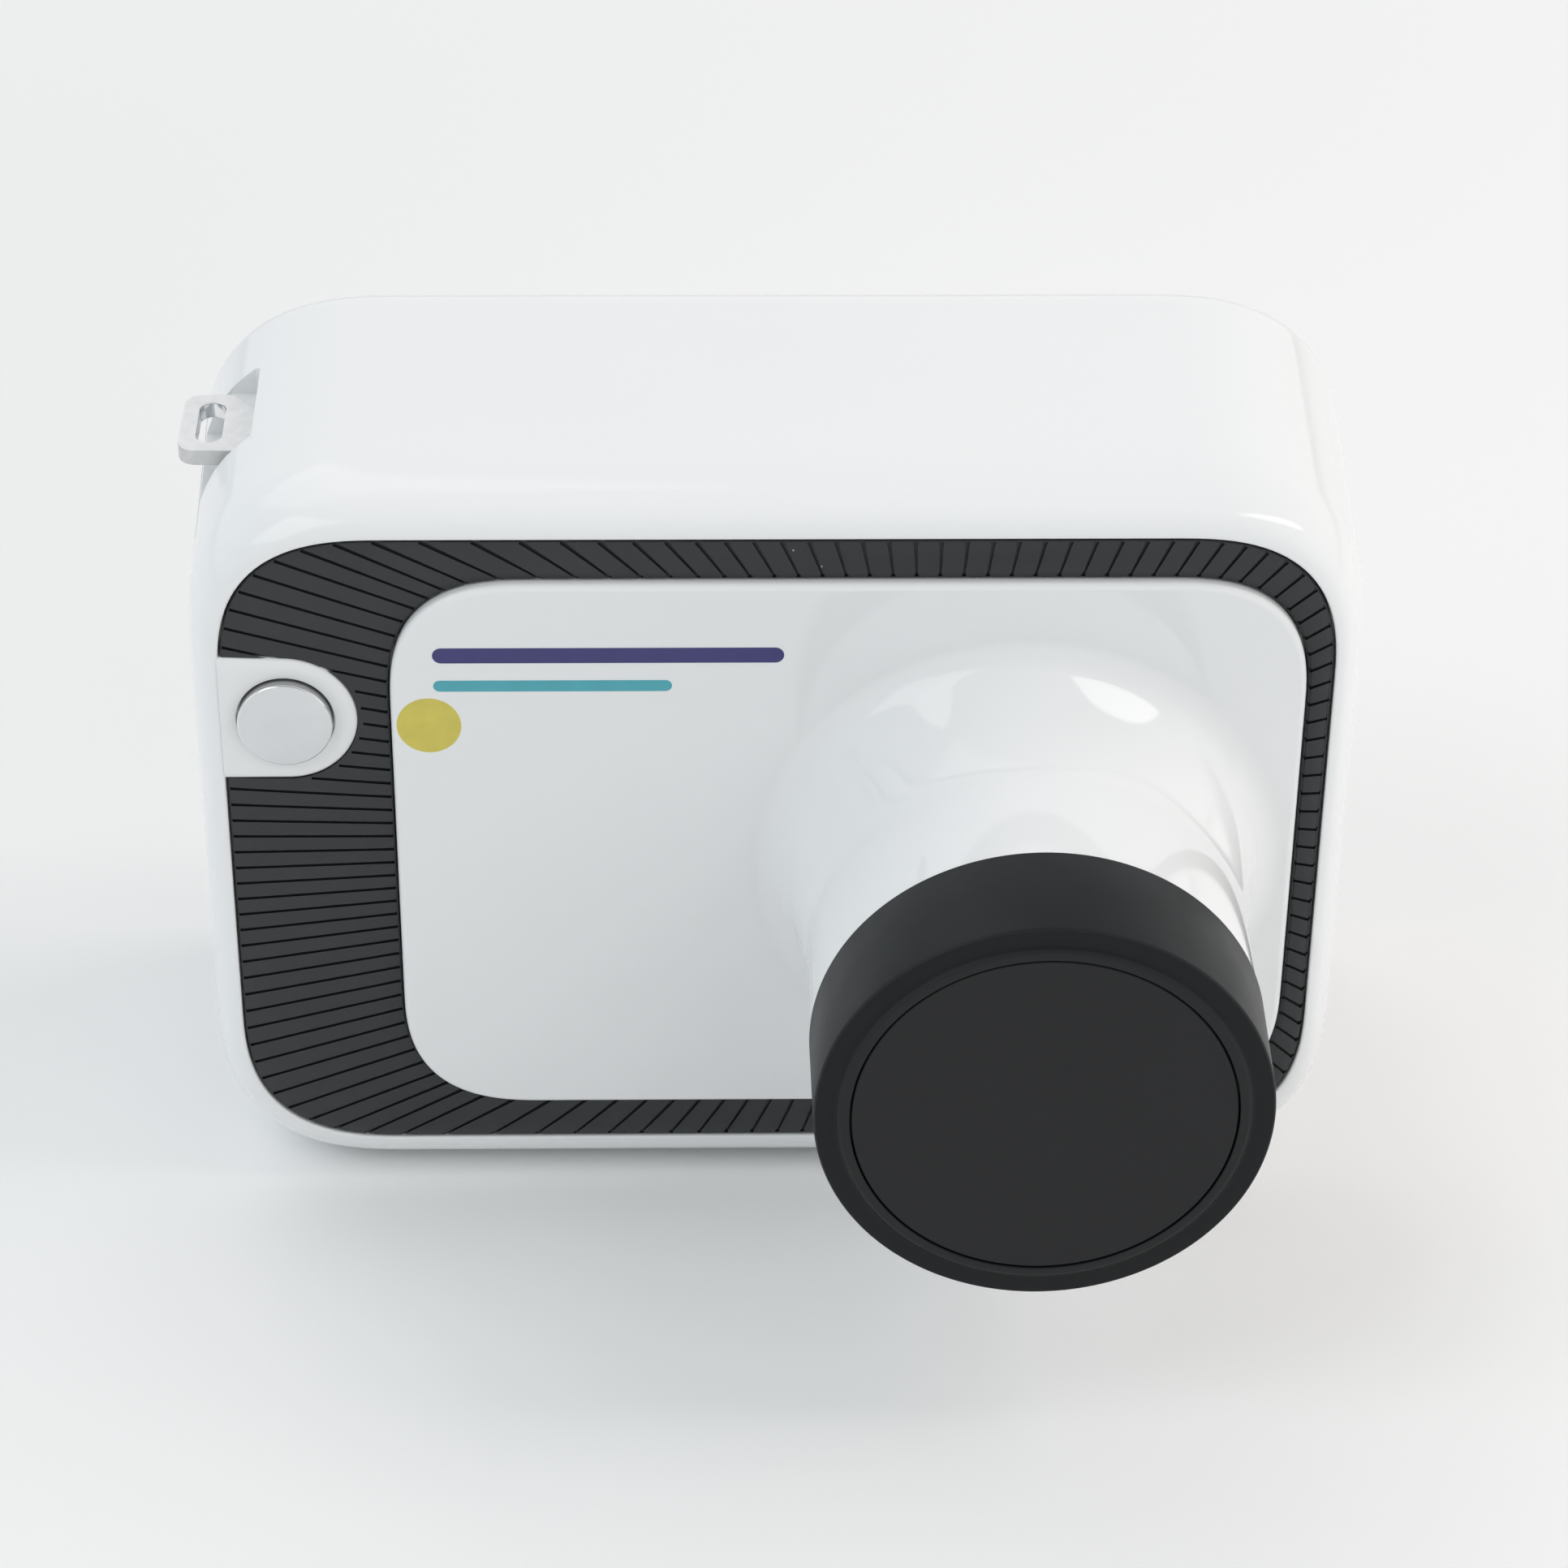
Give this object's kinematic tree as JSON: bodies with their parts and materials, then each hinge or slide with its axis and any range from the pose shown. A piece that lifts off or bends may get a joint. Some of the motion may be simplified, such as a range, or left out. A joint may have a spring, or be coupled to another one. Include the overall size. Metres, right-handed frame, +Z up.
{
  "type": "handheld dental x-ray unit",
  "caption": "Camera-style handheld dental x-ray unit: white rounded housing with a ribbed dark grip band, a flared tube with a black collar, an exposure button, a strap lug and a rear display",
  "frame": {"origin": "the middle of the flat base face that the unit stands on", "axes": "+X runs along the body's length, to the right as seen from the front; the beam leaves along -Y; +Z is up"},
  "size_m": [0.2064, 0.1462, 0.144],
  "materials": {
    "white_plastic": "glossy cool white moulding",
    "dark_rubber": "satin charcoal rubber",
    "black_plastic": "matte black",
    "satin_metal": "satin silver",
    "bare_aluminium": "bead-blasted aluminium",
    "steel": "plain steel",
    "lead": "dull grey lead",
    "copper": "bare copper",
    "brass": "turned brass",
    "clear_glass": "clear glass",
    "dark_glass": "black-backed cover glass",
    "green_board": "green circuit board",
    "ferrite": "sintered ferrite",
    "blue_wrap": "shrink wrap round the cells",
    "resin": "cast resin",
    "grey_plastic": "grey moulding"
  },
  "bodies": {
    "unit": {"housing": "white_plastic", "grip_band": "dark_rubber", "front_cover": "white_plastic", "front_cover_screw_1": "steel", "front_cover_screw_2": "steel", "front_cover_screw_3": "steel", "front_cover_screw_4": "steel", "collar": "black_plastic", "collar_disc": "black_plastic", "button_bezel": "white_plastic", "wave_spring": "steel", "trigger_switch": "grey_plastic", "trigger_board": "green_board", "strap_lug": "bare_aluminium", "lug_screw_1": "steel", "lug_screw_2": "steel", "battery_pack": "blue_wrap", "battery_cradle": "grey_plastic", "battery_connector": "black_plastic", "tank_plate": "bare_aluminium", "tank_case": "bare_aluminium", "tank_lid": "bare_aluminium", "tank_shield": "lead", "tank_screw_1": "steel", "tank_screw_2": "steel", "tank_screw_3": "steel", "tank_screw_4": "steel", "beam_collimator": "lead", "beam_filter": "bare_aluminium", "tube_liner": "lead", "xray_tube": "clear_glass", "anode": "copper", "cathode": "steel", "tube_saddle_low": "resin", "tube_saddle_top": "resin", "hv_winding": "copper", "hv_core": "ferrite", "hv_multiplier": "resin", "rear_cover": "white_plastic", "rear_cover_screw_1": "steel", "rear_cover_screw_2": "steel", "rear_cover_screw_3": "steel", "rear_cover_screw_4": "steel", "rear_seal": "dark_rubber", "display_glass": "dark_glass", "display_module": "grey_plastic", "main_board": "green_board", "buzzer": "black_plastic", "key_board": "green_board", "tripod_insert": "brass"},
    "trigger": {"exposure_button": "satin_metal"},
    "power": {"power_key": "grey_plastic"},
    "menu_1": {"menu_key_1": "grey_plastic"},
    "menu_2": {"menu_key_2": "grey_plastic"},
    "menu_3": {"menu_key_3": "grey_plastic"},
    "side_door": {"battery_door": "white_plastic"}
  },
  "joints": [
    {"name": "exposure_button_slide", "type": "slide", "parent": "unit", "child": "trigger", "axis": [0, 1, 0], "range_m": [0, 0.001], "stiffness_N_per_m": 2500},
    {"name": "power_key_slide", "type": "slide", "parent": "unit", "child": "power", "axis": [0, -1, 0], "range_m": [0, 0.0005], "stiffness_N_per_m": 2500},
    {"name": "menu_key_1_slide", "type": "slide", "parent": "unit", "child": "menu_1", "axis": [0, -1, 0], "range_m": [0, 0.0005], "stiffness_N_per_m": 2500},
    {"name": "menu_key_2_slide", "type": "slide", "parent": "unit", "child": "menu_2", "axis": [0, -1, 0], "range_m": [0, 0.0005], "stiffness_N_per_m": 2500},
    {"name": "menu_key_3_slide", "type": "slide", "parent": "unit", "child": "menu_3", "axis": [0, -1, 0], "range_m": [0, 0.0005], "stiffness_N_per_m": 2500},
    {"name": "battery_door_slide", "type": "slide", "parent": "unit", "child": "side_door", "axis": [0, 1, 0], "range_m": [0, 0.06]}
  ]
}
